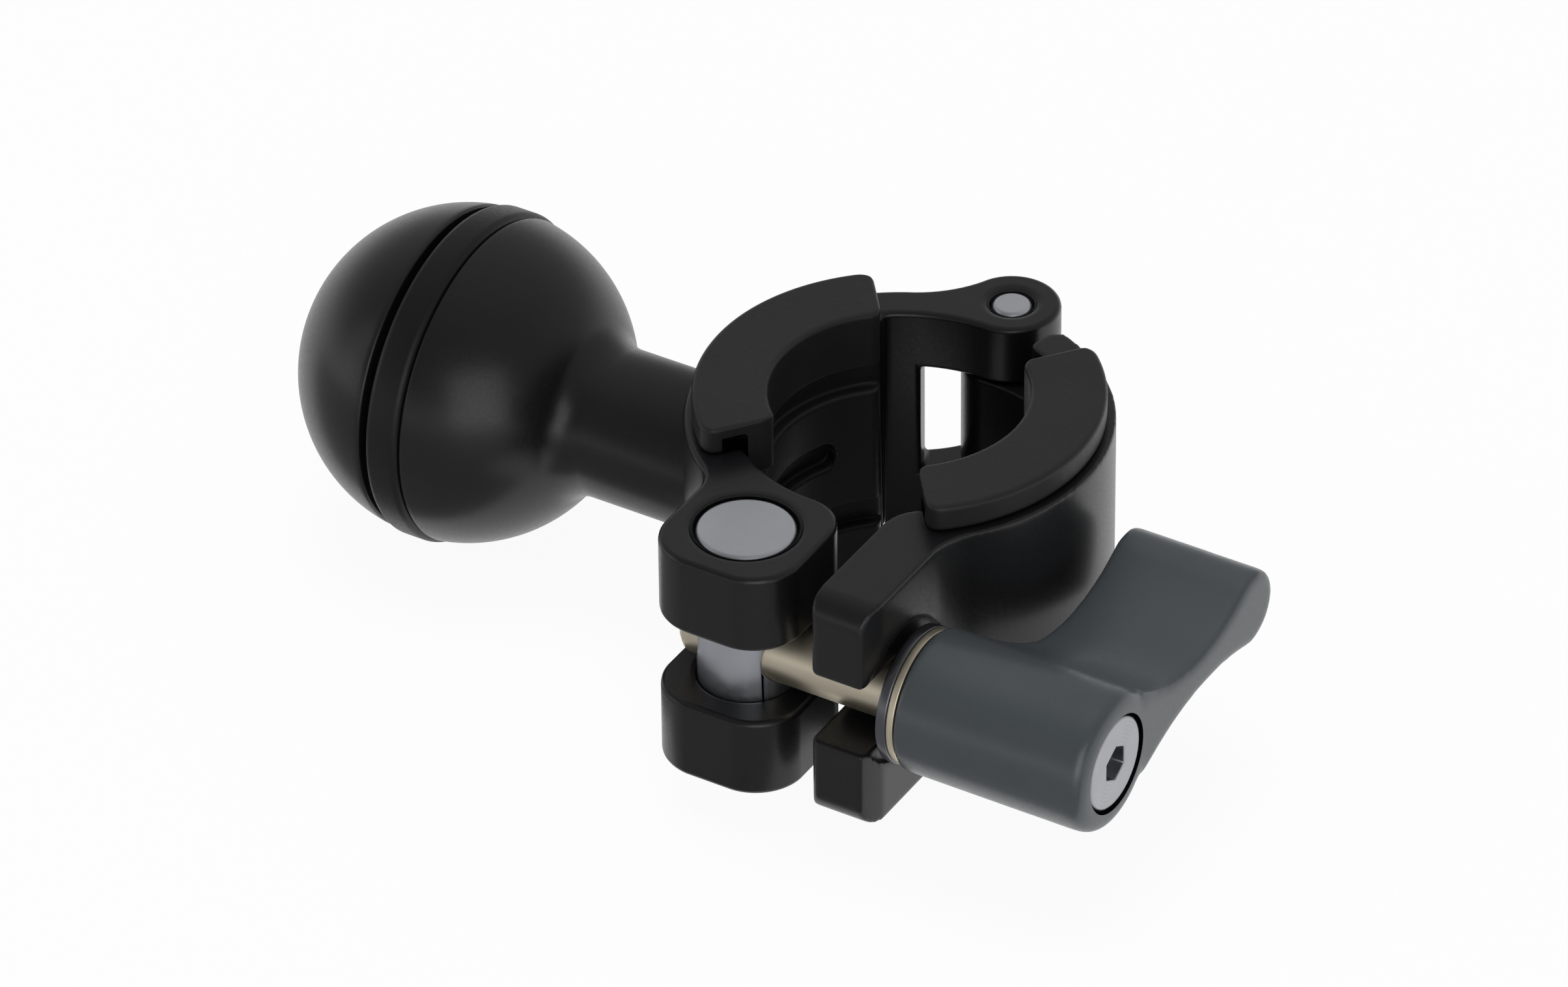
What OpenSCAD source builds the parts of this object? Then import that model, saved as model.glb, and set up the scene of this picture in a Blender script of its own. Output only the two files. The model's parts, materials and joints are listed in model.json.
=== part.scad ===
// Ball joint clamp: a hinged rod clamp with a ball on its fixed jaw and a
// swing-out clamping bolt that an indexing lever turns.
// Millimetres. The origin is the centre of the rod bore and +Z runs up along it.
// The ball stands on -X, the hinge on +Y, the bolt runs along X on the -Y side.

/* [Rod bore and pads] */
// Diameter of the rod that the pads close round
rod_d = 19; // [16:0.5:22]
// Thickness of a pad between the rod and its jaw
pad_t = 2.5; // [2:0.1:3.5]
// Half of the angle that a pad spans
pad_angle = 52; // [46:1:54]
// Height of a pad above the jaw's rim
pad_rise = 2.2; // [1.8:0.1:3]
// Gap between the pad's lip and the jaw's rim
pad_lip_gap = 0.1; // [0.05:0.05:0.2]
// How far the pad's lip stays inside the jaw's outer face
pad_lip_inset = 0.65; // [0.3:0.05:1]
// Depth of the grooves in the pad's gripping face
groove_depth = 1; // [0.5:0.1:1.3]
// Width of the grooves in the pad's gripping face
groove_w = 2.2; // [1.5:0.1:2.6]
// Height of the gripping land at each end of a pad
pad_land = 4.65; // [4:0.05:5.2]
// Half of the angle that the short middle groove spans
mid_groove_angle = 30; // [20:1:38]

/* [Jaws] */
// Height of both jaws along the rod
jaw_h = 19.2; // [18:0.2:24]
// Thickness of the jaws' curved wall
jaw_wall = 3.7; // [3.2:0.1:5]
// Height of the rib on each rim that holds the pad
rib_h = 0.95; // [0.6:0.05:1.2]
// Width of that rib
rib_w = 1.6; // [1.2:0.1:2]
// Gap round the rib in the pad's lip
rib_gap = 0.1; // [0.05:0.05:0.2]
// Depth of the relief in the bore beside the hinge
relief_depth = 0.7; // [0.3:0.1:1.2]

/* [Hinge] */
// Diameter of the hinge pin
hinge_pin_d = 3; // [2.5:0.1:3.6]
// How far the hinge axis lies outside the jaws' outer face
hinge_out = 0.65; // [0:0.05:2]
// Wall of the ears round the hinge pin
ear_wall = 2.15; // [1.8:0.05:2.6]
// Wall of the knuckle round the hinge pin
knuckle_wall = 2.25; // [1.8:0.05:2.8]
// Height of the knuckle between the ears
knuckle_h = 9; // [7:0.2:11]
// Play between the knuckle and each ear
hinge_play = 0.15; // [0.1:0.05:0.3]
// Radial running clearance of the hinge pin in the knuckle
hinge_clear = 0.04; // [0.02:0.01:0.08]
// Open window between the knuckle and the fixed jaw's wall
hinge_window = 2.75; // [1:0.05:3]
// Room between the ears and the moving jaw's wall
ear_room = 1.15; // [0.5:0.05:1.5]
// Radius of the hollow blend from the fixed jaw's wall to its ears
ear_blend_r = 9; // [5:0.5:14]
// Radius of the hollow blend from the moving jaw's wall to its knuckle
knuckle_blend_r = 4; // [2:0.5:6]
// Countersink round the ends of the hinge pin
hinge_sink = 0.45; // [0.2:0.05:0.8]

/* [Clevis lug and barrel nut] */
// Diameter of the barrel nut
nut_d = 7.36; // [7:0.02:9]
// How far the barrel nut lies towards the ball from the bore's centre line
nut_offset = 2.4; // [1.5:0.1:3.5]
// Radial running clearance of the barrel nut in the lug
nut_clear = 0.04; // [0.02:0.01:0.08]
// Wall of the lug on the ball's side of the barrel nut
lug_side = 1.85; // [1.4:0.05:2.4]
// Wall of the lug on the fork's side of the barrel nut
lug_inner = 2.05; // [1.4:0.05:2.4]
// Wall of the lug in front of the barrel nut
lug_front = 2.2; // [1.5:0.1:3]
// Radius of the lug's front corners
lug_corner_r = 4; // [2:0.1:5]
// Radius of the lug's corner beside the bore
lug_heel_r = 3.4; // [1:0.1:3.6]
// Radius of the hollow blend from the lug to the fixed jaw's wall
lug_blend_r = 3; // [2:0.1:5]
// Chamfer of the holes that the barrel nut turns in
nut_hole_chamfer = 0.35; // [0.1:0.05:0.6]
// How far pins stay below the faces they end at
pin_inset = 0.1; // [0.05:0.05:0.3]
// Chamfer on the ends of the pins
pin_chamfer = 0.25; // [0.1:0.05:0.4]

/* [Clamping bolt] */
// Diameter of the clamping bolt
bolt_d = 5; // [4:0.5:5.5]
// How far the bolt's axis lies outside the jaws' outer face
bolt_out = 1.8; // [1.5:0.1:3]
// Radial clearance of the bolt's thread in the barrel nut
thread_clear = 0.04; // [0.02:0.01:0.08]
// How far the bolt reaches past the barrel nut's axis
bolt_tail = 4.6; // [4.5:0.1:5.5]
// Bevel on the bolt's far end
bolt_bevel = 0.6; // [0.2:0.1:1]
// Room above and below the bolt in the lug's slot
slot_play = 0.65; // [0.4:0.05:1]
// Room for the bolt's far end as it swings and feeds
tail_room = 1.3; // [1.2:0.1:1.8]
// Diameter of the bolt's flange
flange_d = 10.2; // [9:0.1:11]
// Thickness of the bolt's flange
flange_t = 0.6; // [0.5:0.1:1.2]
// Diameter of the thrust washer
washer_d = 10.4; // [10:0.1:11.4]
// Thickness of the thrust washer
washer_t = 0.8; // [0.5:0.1:1.2]
// Radial clearance of the washer on the bolt
washer_clear = 0.1; // [0.05:0.01:0.1]

/* [Fork of the moving jaw] */
// Gap between the lug and the fork
fork_gap = 2.5; // [2:0.1:4]
// Thickness of the fork's prongs
fork_t = 4.9; // [4:0.1:6]
// How far the prongs reach past the bolt's axis
fork_reach = 5.2; // [4.5:0.1:6]
// Radius of the prongs' outer front edges
fork_edge_r = 0.5; // [0.3:0.1:1.5]
// Radius of the prongs' inner front edges
fork_inner_r = 0.7; // [0.4:0.05:1.2]
// Radius of the prongs' upper and lower front edges
fork_nose_r = 2; // [1:0.1:2.5]
// Radius of the fork's corner beside the bore
fork_heel_r = 3; // [1:0.1:3.4]
// Radius of the hollow blend from the fork to the moving jaw's wall
fork_blend_r = 5; // [3:0.5:8]
// Room above and below the bolt in the fork's slot
fork_play = 0.45; // [0.3:0.05:0.8]
// Room behind the bolt in the fork's slot
slot_back = 0.9; // [0.6:0.1:1.5]
// Depth of the round washer seat in the fork
seat_depth = 0.5; // [0.3:0.1:0.8]
// Radial room round the washer in its seat
seat_room = 0.25; // [0.15:0.05:0.4]
// Gap between the fork and the washer with the lever loosened
release_gap = 0.5; // [0.4:0.05:1.2]
// Gap between the washer and the prongs as the bolt swings out
swing_gap = 0.12; // [0.1:0.01:0.3]

/* [Lever] */
// Length of the lever's barrel
lever_l = 15.25; // [14.5:0.05:18]
// Diameter of the lever's barrel
barrel_d = 10.8; // [10.4:0.1:12]
// Gap between the bolt's flange and the barrel
barrel_gap = 0.15; // [0.1:0.05:0.4]
// Radius of the edge at the barrel's outer end
barrel_edge_r = 1; // [0.5:0.1:1.2]
// Width of the lever's wing along the bolt
wing_w = 10.8; // [9:0.1:11.2]
// Distance from the bolt's axis to the centre of the wing's rounded tip
wing_reach = 20.1; // [18:0.1:26]
// Height of the tip's centre above the bolt's axis
wing_lift = 0.6; // [0:0.1:1.5]
// Radius of the wing's tip
wing_tip_r = 3; // [2.5:0.1:3.6]
// Radius of the hollow in the wing's upper face
wing_top_r = 13.9; // [13:0.1:20]
// Radius of the hollow in the wing's lower face
wing_under_r = 20.5; // [18:0.5:30]
// Distance from the bolt's axis at which the wing's flat end starts
wing_root = 3; // [2:0.1:4]
// Radius of the hollow blend from the wing's inner edge to the barrel
wing_root_r = 5.5; // [5:0.1:6.5]
// Length of the slope from the barrel's rounded end up to the wing's flat end
wing_ramp = 1.3; // [1.1:0.1:2]

/* [Inside the lever] */
// Outer diameter of the teeth on the bolt's hub
tooth_d = 7.5; // [7:0.1:7.6]
// Depth of the teeth
tooth_depth = 0.45; // [0.3:0.05:0.5]
// Number of teeth round the hub
tooth_count = 16; // [12:1:20]
// Length of the teeth along the bolt
tooth_l = 2.4; // [1.8:0.1:2.4]
// Radial clearance between the hub's teeth and the lever's
tooth_clear = 0.1; // [0.05:0.01:0.15]
// Radial room round the hub's teeth in the lever's plain bore
hub_room = 0.2; // [0.18:0.01:0.4]
// Length of the plain hub between the flange and the teeth
hub_l = 4; // [3:0.1:4.5]
// Gap between the end of the hub and the lever's web
web_gap = 0.3; // [0.2:0.05:0.5]
// Thickness of the web that the spring presses on
web_t = 1.3; // [1:0.1:1.6]
// Diameter of the lever screw's head
screw_head_d = 7.3; // [7:0.1:7.8]
// Height of the lever screw's head
screw_head_h = 1.6; // [1.2:0.1:1.8]
// Diameter of the lever screw's thread
screw_d = 4; // [3:0.1:4]
// How far the lever screw goes into the bolt's hub
screw_grip = 5; // [4:0.1:5.5]
// Width across the flats of the lever screw's socket
screw_hex = 2.5; // [2:0.1:3]
// Radial clearance round the screw's head and shank in the lever
screw_room = 0.15; // [0.1:0.05:0.3]
// How far the screw's head stays inside the barrel's end
screw_inset = 0.1; // [0.05:0.05:0.3]
// Wire diameter of the lever's spring
wire_d = 0.6; // [0.4:0.05:0.7]
// Coils of the lever's spring
coil_count = 4; // [3:1:4]
// Gap between the spring and the faces that it presses on
spring_gap = 0.05; // [0.02:0.01:0.1]

/* [Ball stud] */
// Diameter of the ball
ball_d = 25.4; // [20:0.1:30]
// Distance from the rod's axis to the centre of the ball
ball_reach = 37.2; // [34:0.1:50]
// Diameter of the neck
neck_d = 11.5; // [10:0.1:14]
// Radius of the hollow blend from the ball to the neck
neck_blend_r = 3; // [1.5:0.1:5]
// Thickness of the rubber ring
ring_t = 2.8; // [2:0.1:3]
// Radius of the rubber ring's edges
ring_edge_r = 0.6; // [0.2:0.1:0.9]
// Width of the groove for the rubber ring
ring_groove_w = 3.4; // [3.2:0.1:4]
// How far the groove's middle lies from the ball's centre, towards the neck
ring_shift = 0.05; // [0:0.05:1]
// How far the rubber ring stands proud of the ball
ring_proud = 0.15; // [0:0.05:0.4]
// Gap between the rubber ring and its groove
ring_gap = 0.03; // [0.01:0.01:0.1]
// Diameter of the screw that holds the stud
stud_screw_d = 5; // [4:0.5:5]
// Diameter of that screw's head
stud_head_d = 9.2; // [8.4:0.1:9.6]
// Length of that screw
stud_screw_l = 14; // [12:0.5:18]
// Width across the flats of that screw's socket
stud_hex = 3; // [2.5:0.1:3.2]
// Depth of that screw's socket
stud_hex_depth = 1.6; // [1.2:0.1:2]
// Gap between that screw's head and the pad
stud_head_gap = 0.15; // [0.05:0.05:0.3]
// Radial clearance of that screw in the jaw
stud_screw_clear = 0.15; // [0.1:0.05:0.3]

/* [Hidden] */
$fn = 96;

anodised_black = "#262628";
rubber_grey = "#37373a";
rubber_black = "#161617";
steel = "#a4a5a8";
washer_grey = "#77777d";
champagne = "#b5ab97";
lever_grey = "#4f5759";
screw_silver = "#a9aaae";

// Long enough to reach past the whole clamp, for cuts
far = 4 * (rod_d + jaw_h + ball_reach);
// Small overlap that keeps a cut's end from lying on a face
nick = 0.5;
// Smaller overlap that lets round faces cross where they blend
bite = 0.01;
// Angle by which ribs stop short of a pad's ends and the bore's relief starts past them
end_angle = 2;
// Half the width of a hub's tooth at its tip and at its foot, as shares of the pitch
tooth_tip = 0.16;
tooth_foot = 0.34;
// Rings in one coil of the spring's wire, and sides of the wire
coil_steps = 16;
wire_sides = 6;

rod_r = rod_d / 2;
jaw_r = rod_r + pad_t;
ring_r = jaw_r + jaw_wall;
relief_r = jaw_r + relief_depth;
relief_angle = pad_angle + end_angle;
jaw_top = jaw_h / 2;
pad_top = jaw_top + pad_rise;
pad_lip_r = ring_r - pad_lip_inset;
rib_angle = pad_angle - end_angle;

hinge_y = ring_r + hinge_out;
hinge_at = [0, hinge_y];
ear_r = hinge_pin_d / 2 + ear_wall;
knuckle_r = hinge_pin_d / 2 + knuckle_wall;
ear_space = knuckle_h + 2 * hinge_play;
// Angles from +Y at which the two jaws' walls stop beside the hinge
window_angle = asin((knuckle_r + hinge_window) / hinge_y);
ear_room_angle = asin((ear_r + ear_room) / hinge_y);

bolt_r = bolt_d / 2;
bolt_y = -(ring_r + bolt_out);
slot_h = bolt_d + 2 * slot_play;
nut_r = nut_d / 2;
nut_x = -nut_offset;
nut_at = [nut_x, bolt_y];
lug_low = nut_at - [nut_r + lug_side, nut_r + lug_front];
lug_high = [nut_x + nut_r + lug_inner, -jaw_r + nick];
swing_r = norm([bolt_tail + tail_room - bolt_bevel, bolt_r]);

fork_x = lug_high[0] + fork_gap;
fork_face_x = fork_x + fork_t;
fork_y = bolt_y - fork_reach;
fork_slot_h = bolt_d + 2 * fork_play;
washer_x = fork_face_x + release_gap;
flange_x = washer_x + washer_t;
hub_x = flange_x + flange_t;
tooth_x = hub_x + hub_l;
hub_end_x = tooth_x + tooth_l;
barrel_x = hub_x + barrel_gap;
barrel_end_x = barrel_x + lever_l;
barrel_r = barrel_d / 2;
wing_x = barrel_end_x - wing_w;
web_x = hub_end_x + web_gap;
spring_x = web_x + web_t;
screw_top_x = barrel_end_x - screw_inset;
screw_seat_x = screw_top_x - screw_head_h;
screw_bore_r = screw_head_d / 2 + screw_room;
tooth_r = tooth_d / 2;
spring_l = screw_seat_x - spring_x - 2 * spring_gap;
spring_r = (screw_d / 2 + screw_bore_r) / 2;

ball_r = ball_d / 2;
neck_r = neck_d / 2;
o_ring_r = ball_r + ring_proud;
o_ring_shift = ring_shift + ring_groove_w / 2 - ring_t / 2 - ring_gap;
stud_head_x = -(jaw_r + stud_head_gap);

// Where a circle of radius rc about c and one of radius rd about d meet,
// on the left (side 1) or the right (side -1) of the way from c to d
function meeting(c, rc, d, rd, side) =
    let (v = d - c, l = norm(v), u = v / l, t = (l * l + rc * rc - rd * rd) / (2 * l))
    c + u * t + side * [-u[1], u[0]] * sqrt(rc * rc - t * t);

// Hollow blend of radius r between two discs
module disc_blend(c, rc, d, rd, r, side) {
    f = meeting(c, rc + r - bite, d, rd + r - bite, side);
    difference() {
        polygon([c, f, d]);
        translate(f) circle(r);
    }
}

// Hollow blend of radius r between the jaws' outer face and the straight face at x,
// whose open side is sign * X
module wall_blend(x, r, sign) {
    reach = ring_r + r - bite;
    f_x = x + sign * (r - bite);
    f = [f_x, -sqrt(reach * reach - f_x * f_x)];
    difference() {
        polygon([[x - sign * jaw_wall / 2, f[1]], f, f * (ring_r - jaw_wall / 2) / reach]);
        translate(f) circle(r);
    }
}

// Cuts round the corner between the bore and the straight face at x, whose solid
// side is sign * X
module heel_cut(x, r, sign) {
    reach = jaw_r + r;
    c_x = x + sign * r;
    c = [c_x, -sqrt(reach * reach - c_x * c_x)];
    outside = x - sign * nick;
    bore_y = -sqrt(jaw_r * jaw_r - x * x);
    difference() {
        polygon([[outside, c[1]], c, c * (jaw_r - nick) / reach, [outside, bore_y + nick]]);
        translate(c) circle(r + bite);
    }
}

// Pie slice from angle a to angle b, under half a turn
module wedge(a, b) {
    polygon([[0, 0], for (i = [0:4]) let (t = a + (b - a) * i / 4) far * [cos(t), sin(t)]]);
}

// Part of a ring about the rod's axis
module arc_band(r_in, r_out, a, b) {
    intersection() {
        difference() {
            circle(r_out);
            circle(r_in);
        }
        wedge(a, b);
    }
}

// Rectangle with a radius for each corner: low left, low right, high right, high left
module rounded_plate(low, high, radii) {
    corners = [low, [high[0], low[1]], high, [low[0], high[1]]];
    inward = [[1, 1], [-1, 1], [-1, -1], [1, -1]];
    difference() {
        translate(low) square(high - low);
        for (i = [0:3]) let (r = radii[i], d = inward[i])
            if (r > 0) difference() {
                translate(corners[i] + (r - nick) / 2 * d) square(r + nick, center = true);
                translate(corners[i] + r * d) circle(r + bite);
            }
    }
}

module slab(low, high) {
    translate([0, 0, low]) linear_extrude(high - low) children();
}

// Turns a shape that stands along Z so that it lies along X, from x on, on the bolt's axis
module on_bolt(x) {
    translate([x, bolt_y, 0]) rotate([0, 90, 0]) children();
}

module chamfered_pin(d, h, chamfer) {
    rotate_extrude() polygon([
        [0, -h / 2], [d / 2 - chamfer, -h / 2], [d / 2, -h / 2 + chamfer],
        [d / 2, h / 2 - chamfer], [d / 2 - chamfer, h / 2], [0, h / 2]
    ]);
}

// Hole through both rims of a jaw with a chamfer at each end
module chamfered_hole(r, chamfer) {
    rotate_extrude() polygon([
        [0, -jaw_top - nick], [r + chamfer + nick, -jaw_top - nick], [r, -jaw_top + chamfer],
        [r, jaw_top - chamfer], [r + chamfer + nick, jaw_top + nick], [0, jaw_top + nick]
    ]);
}

module hex_socket(flats, depth) {
    translate([0, 0, -depth]) cylinder(d = flats / cos(30), h = depth + nick, $fn = 6);
}

// Ribs on both rims of a jaw, round the angle a
module pad_ribs(a) {
    for (s = [-1, 1])
        slab(s > 0 ? jaw_top - nick : -jaw_top - rib_h, s > 0 ? jaw_top + rib_h : -jaw_top + nick)
            arc_band(jaw_r, jaw_r + rib_w, a - rib_angle, a + rib_angle);
}

module hinge_relief() {
    slab(-far, far) intersection() {
        circle(relief_r);
        wedge(relief_angle, 180 - relief_angle);
    }
}

// Outline of the fixed jaw seen from above
module fixed_plan() {
    difference() {
        union() {
            intersection() {
                circle(ring_r);
                translate([-far, -far]) square([far, 2 * far]);
            }
            translate(hinge_at) circle(ear_r);
            disc_blend([0, 0], ring_r, hinge_at, ear_r, ear_blend_r, 1);
            rounded_plate(lug_low, lug_high, [lug_corner_r, lug_corner_r, 0, 0]);
            wall_blend(lug_low[0], lug_blend_r, -1);
        }
        circle(jaw_r);
        heel_cut(lug_high[0], lug_heel_r, -1);
    }
}

// Room that the bolt and its far end need in the lug as the bolt swings out
module swing_room() {
    translate([-far, -far]) square([2 * far, far + bolt_y + bolt_r + slot_play]);
    translate(nut_at) circle(swing_r);
}

module stud_screw_body(clear) {
    cone = (stud_head_d - stud_screw_d) / 2;
    rotate_extrude() polygon([
        [0, 0], [stud_head_d / 2 + clear, 0], [stud_screw_d / 2 + clear, -cone],
        [stud_screw_d / 2 + clear, -stud_screw_l], [0, -stud_screw_l]
    ]);
}

module at_stud_screw() {
    translate([stud_head_x, 0, 0]) rotate([0, 90, 0]) children();
}

module fixed_jaw() {
    color(anodised_black) difference() {
        union() {
            slab(-jaw_top, jaw_top) fixed_plan();
            pad_ribs(180);
        }
        hinge_relief();
        slab(-ear_space / 2, ear_space / 2) wedge(0, 90 + window_angle);
        slab(-slot_h / 2, slot_h / 2) swing_room();
        translate(hinge_at) chamfered_hole(hinge_pin_d / 2, hinge_sink);
        translate(nut_at) chamfered_hole(nut_r + nut_clear, nut_hole_chamfer);
        at_stud_screw() {
            stud_screw_body(stud_screw_clear);
            cylinder(d = stud_head_d + 2 * stud_screw_clear, h = pad_t);
        }
    }
}

// Outline of the moving jaw's full-height wall and fork
module moving_plan() {
    difference() {
        union() {
            intersection() {
                arc_band(jaw_r, ring_r, -90, 90 - ear_room_angle);
                union() {
                    wedge(0, 90);
                    translate([fork_x, -far]) square(far);
                }
            }
            rounded_plate([fork_x, fork_y], [fork_face_x, -jaw_r / 2], [fork_inner_r, fork_edge_r, 0, 0]);
            wall_blend(fork_face_x, fork_blend_r, 1);
        }
        circle(jaw_r);
        heel_cut(fork_x, fork_heel_r, 1);
    }
}

// Outline of the knuckle with the wall that carries it
module knuckle_plan() {
    difference() {
        union() {
            arc_band(jaw_r, ring_r, relief_angle, 90 - ear_room_angle / 2);
            translate(hinge_at) circle(knuckle_r);
            disc_blend([0, 0], ring_r, hinge_at, knuckle_r, knuckle_blend_r, -1);
        }
        circle(relief_r);
    }
}

// What the washer needs cleared off the prongs' outer front edges as the bolt swings out
module washer_path() {
    h = jaw_top + nick;
    slab(-h, h) difference() {
        translate([fork_x, fork_y - nick]) square([far, fork_reach + nick]);
        translate(nut_at) circle(washer_x - nut_x - swing_gap);
    }
}

// Rounds off the front edge of a prong, above (1) or below (-1)
module fork_nose(side) {
    c = [fork_y + fork_nose_r, side * (jaw_top - fork_nose_r)];
    translate([fork_x - nick, 0, 0]) rotate([90, 0, 90]) linear_extrude(fork_t + 2 * nick) difference() {
        translate([fork_y - nick, side > 0 ? c[1] : c[1] - fork_nose_r - nick])
            square(fork_nose_r + nick);
        translate(c) circle(fork_nose_r + bite);
    }
}

module moving_jaw() {
    color(anodised_black) difference() {
        union() {
            slab(-jaw_top, jaw_top) moving_plan();
            slab(-knuckle_h / 2, knuckle_h / 2) knuckle_plan();
            pad_ribs(0);
        }
        hinge_relief();
        translate(hinge_at) chamfered_hole(hinge_pin_d / 2 + hinge_clear, hinge_sink);
        translate([0, fork_y - far, -fork_slot_h / 2])
            cube([far, far + fork_reach + bolt_r + slot_back, fork_slot_h]);
        on_bolt(fork_face_x - seat_depth) cylinder(d = washer_d + 2 * seat_room, h = far);
        washer_path();
        for (s = [-1, 1]) fork_nose(s);
    }
}

// Pad round the angle a
module pad(a) {
    difference() {
        union() {
            slab(-pad_top, pad_top) arc_band(rod_r, jaw_r, a - pad_angle, a + pad_angle);
            for (s = [-1, 1])
                slab(s > 0 ? jaw_top + pad_lip_gap : -pad_top, s > 0 ? pad_top : -jaw_top - pad_lip_gap)
                    arc_band(rod_r, pad_lip_r, a - pad_angle, a + pad_angle);
        }
        for (s = [-1, 1])
            slab(s > 0 ? jaw_top : -jaw_top - rib_h - rib_gap, s > 0 ? jaw_top + rib_h + rib_gap : -jaw_top)
                arc_band(jaw_r, jaw_r + rib_w + rib_gap, a - relief_angle, a + relief_angle);
        for (low = [pad_top - pad_land - groove_w, pad_land - pad_top])
            slab(low, low + groove_w)
                arc_band(0, rod_r + groove_depth, a - relief_angle, a + relief_angle);
        slab(-groove_w / 2, groove_w / 2)
            arc_band(0, rod_r + groove_depth, a - mid_groove_angle, a + mid_groove_angle);
    }
}

module fixed_pad() {
    color(rubber_grey) pad(180);
}

module moving_pad() {
    color(rubber_grey) pad(0);
}

// Half section of the ball and its neck, with the neck along +Y
module stud_section() {
    reach = ball_r + neck_blend_r - bite;
    f_x = neck_r + neck_blend_r - bite;
    f = [f_x, sqrt(reach * reach - f_x * f_x)];
    difference() {
        union() {
            intersection() {
                circle(ball_r);
                translate([0, -ball_r]) square([ball_r, 2 * ball_r]);
            }
            square([neck_r, ball_reach - jaw_r]);
            difference() {
                polygon([[0, 0], f, [0, f[1]]]);
                translate(f) circle(neck_blend_r);
            }
        }
        translate([o_ring_r - ring_t - ring_gap, ring_shift - ring_groove_w / 2])
            square([ring_t + ring_gap + nick, ring_groove_w]);
    }
}

module at_ball() {
    translate([-ball_reach, 0, 0]) rotate([0, 90, 0]) children();
}

module ball_stud() {
    color(anodised_black) difference() {
        at_ball() rotate_extrude() stud_section();
        cylinder(r = ring_r, h = far, center = true);
        at_stud_screw() stud_screw_body(0);
    }
}

module ball_o_ring() {
    low = [o_ring_r - ring_t, -ring_t / 2];
    high = [o_ring_r, ring_t / 2];
    color(rubber_black) at_ball() translate([0, 0, o_ring_shift])
        rotate_extrude() rounded_plate(low, high, [for (i = [0:3]) ring_edge_r]);
}

module stud_screw() {
    color(steel) at_stud_screw() difference() {
        stud_screw_body(0);
        hex_socket(stud_hex, stud_hex_depth);
    }
}

module hinge_pin() {
    color(steel) translate(hinge_at) chamfered_pin(hinge_pin_d, jaw_h - 2 * pin_inset, pin_chamfer);
}

module barrel_nut() {
    color(steel) difference() {
        translate(nut_at) chamfered_pin(nut_d, jaw_h - 2 * pin_inset, pin_chamfer);
        on_bolt(nut_x - nut_d) cylinder(r = bolt_r + thread_clear, h = 2 * nut_d);
    }
}

module thrust_washer() {
    color(washer_grey) on_bolt(washer_x) difference() {
        cylinder(d = washer_d, h = washer_t);
        translate([0, 0, -nick]) cylinder(r = bolt_r + washer_clear, h = washer_t + 2 * nick);
    }
}

// Outline of a toothed hub with its tips at radius r
module toothed_disc(r) {
    step = 360 / tooth_count;
    tooth = [[-tooth_foot, -1], [-tooth_tip, 0], [tooth_tip, 0], [tooth_foot, -1]];
    polygon([
        for (i = [0:tooth_count - 1], t = tooth)
            let (a = (i + t[0]) * step) (r + t[1] * tooth_depth) * [cos(a), sin(a)]
    ]);
}

module clamp_bolt() {
    tail_x = nut_x - bolt_tail;
    shank_l = flange_x - tail_x;
    hub_r = tooth_r - tooth_depth;
    color(champagne) difference() {
        union() {
            on_bolt(tail_x) cylinder(r1 = bolt_r - bolt_bevel, r2 = bolt_r, h = bolt_bevel);
            on_bolt(tail_x + bolt_bevel) cylinder(r = bolt_r, h = shank_l - bolt_bevel + nick);
            on_bolt(flange_x) cylinder(d = flange_d, h = flange_t);
            on_bolt(hub_x - nick) cylinder(r = hub_r, h = hub_l + tooth_l + nick);
            on_bolt(tooth_x) linear_extrude(tooth_l) toothed_disc(tooth_r);
        }
        on_bolt(hub_end_x - screw_grip) cylinder(d = screw_d, h = screw_grip + nick);
    }
}

// Side view of the lever, with the bolt's axis at the origin and the wing along +X
module lever_profile() {
    tip = [wing_reach, wing_lift];
    circle(barrel_r);
    translate(tip) circle(wing_tip_r);
    disc_blend([0, 0], barrel_r, tip, wing_tip_r, wing_top_r, 1);
    disc_blend([0, 0], barrel_r, tip, wing_tip_r, wing_under_r, -1);
}

// The wing seen from above, as far as it departs from the barrel
module wing_plan() {
    root_y = bolt_y + wing_root;
    tip_y = bolt_y + wing_reach + wing_tip_r + nick;
    polygon([
        [wing_x, root_y],
        [barrel_end_x - wing_ramp, root_y],
        [barrel_end_x, root_y + wing_ramp],
        [barrel_end_x, tip_y],
        [wing_x, tip_y]
    ]);
    difference() {
        translate([wing_x - wing_root_r, root_y]) square([wing_root_r + nick, wing_root_r]);
        translate([wing_x - wing_root_r, root_y + wing_root_r]) circle(wing_root_r);
    }
}

// Half section of the barrel, with its outer end at the top
module barrel_section() {
    rounded_plate([0, 0], [barrel_r, lever_l], [0, 0, barrel_edge_r, 0]);
}

module lever() {
    color(lever_grey) difference() {
        union() {
            on_bolt(barrel_x) rotate_extrude() barrel_section();
            intersection() {
                translate([barrel_x, bolt_y, 0]) rotate([90, 0, 90]) linear_extrude(lever_l) lever_profile();
                slab(-far, far) wing_plan();
            }
        }
        on_bolt(barrel_x - nick) cylinder(r = tooth_r + hub_room, h = hub_l - barrel_gap + nick);
        on_bolt(tooth_x - nick) linear_extrude(tooth_l + web_gap + nick) toothed_disc(tooth_r + tooth_clear);
        on_bolt(web_x - nick) cylinder(r = screw_d / 2 + screw_room, h = web_t + 2 * nick);
        on_bolt(spring_x) cylinder(r = screw_bore_r, h = lever_l);
    }
}

// Points of ring i of the spring's tube
function coil_ring(i, n) =
    let (a = 360 * coil_count * i / n, out = [cos(a), sin(a), 0])
    let (z = spring_gap + wire_d / 2 + (spring_l - wire_d) * i / n)
    [for (k = [0:wire_sides - 1]) let (b = 360 * k / wire_sides)
        (spring_r + wire_d / 2 * cos(b)) * out + [0, 0, z + wire_d / 2 * sin(b)]];

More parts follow.
